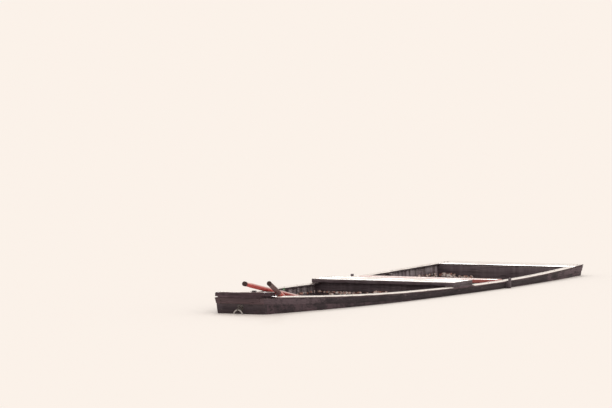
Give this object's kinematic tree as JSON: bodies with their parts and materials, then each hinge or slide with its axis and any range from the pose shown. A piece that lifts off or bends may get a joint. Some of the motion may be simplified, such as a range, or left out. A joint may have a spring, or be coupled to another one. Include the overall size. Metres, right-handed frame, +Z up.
{
  "type": "flat-bottomed rowing punt",
  "caption": "Long low flat-bottomed wooden boat with square ends, a raised rowing platform, a thwart, stowed oars and a mooring ring.",
  "frame": {"origin": "middle of the whole boat's plan, stowed oars included, at the flat of the bottom", "axes": "+X forward to the bow, +Y to port, +Z up; the long way of the boat lies along X"},
  "size_m": [6.5508, 1.5266, 0.5957],
  "materials": {
    "tarred_wood": "weathered tar on sawn planks, dark brown to black",
    "worn_wood": "tarred wood worn grey along its top faces, wet sheen",
    "red_painted_wood": "old red oxide paint, worn through at the edges",
    "galvanised_iron": "dull grey galvanised iron"
  },
  "bodies": {
    "hull": {"aft_thwart": "red_painted_wood", "bottom_aft_1": "tarred_wood", "bottom_aft_2": "tarred_wood", "bottom_aft_3": "tarred_wood", "bottom_aft_4": "tarred_wood", "bottom_fore_1": "tarred_wood", "bottom_fore_2": "tarred_wood", "bottom_fore_3": "tarred_wood", "bottom_fore_4": "tarred_wood", "bottom_middle_1": "tarred_wood", "bottom_middle_2": "tarred_wood", "bottom_middle_3": "tarred_wood", "bottom_middle_4": "tarred_wood", "bow_corner_post_port": "tarred_wood", "bow_corner_post_starboard": "tarred_wood", "bow_cross_board": "worn_wood", "bow_transom_lower": "tarred_wood", "bow_transom_upper": "tarred_wood", "bulkhead_lower": "tarred_wood", "bulkhead_upper": "tarred_wood", "floor_timber_1": "tarred_wood", "floor_timber_2": "tarred_wood", "floor_timber_3": "tarred_wood", "floor_timber_4": "tarred_wood", "floor_timber_5": "tarred_wood", "floor_timber_6": "tarred_wood", "knee_1_port": "tarred_wood", "knee_1_starboard": "tarred_wood", "knee_3_port": "tarred_wood", "knee_3_starboard": "tarred_wood", "knee_4_port": "tarred_wood", "knee_4_starboard": "tarred_wood", "knee_5_port": "tarred_wood", "knee_5_starboard": "tarred_wood", "mooring_eye": "galvanised_iron", "oar_port": "red_painted_wood", "oar_starboard": "red_painted_wood", "platform_bearer_port": "tarred_wood", "platform_bearer_starboard": "tarred_wood", "platform_board_1": "worn_wood", "platform_board_2": "worn_wood", "platform_board_3": "worn_wood", "rim_cap_port": "worn_wood", "rim_cap_starboard": "worn_wood", "rowlock_post_port": "tarred_wood", "rowlock_post_starboard": "tarred_wood", "stern_corner_post_port": "tarred_wood", "stern_corner_post_starboard": "tarred_wood", "stern_deck": "worn_wood", "stern_deck_beam": "tarred_wood", "stern_transom_lower": "tarred_wood", "stern_transom_upper": "tarred_wood", "strake_lower_port": "tarred_wood", "strake_lower_starboard": "tarred_wood", "strake_upper_port": "tarred_wood", "strake_upper_starboard": "tarred_wood", "wale_port": "tarred_wood", "wale_starboard": "tarred_wood"},
    "ring": {"mooring_ring": "galvanised_iron"}
  },
  "joints": [
    {"name": "ring_swing", "type": "hinge", "parent": "hull", "child": "ring", "pos_m": [2.76025, 0, 0.3207], "axis": [0, -1, 0], "range_deg": [-15, 150]}
  ]
}
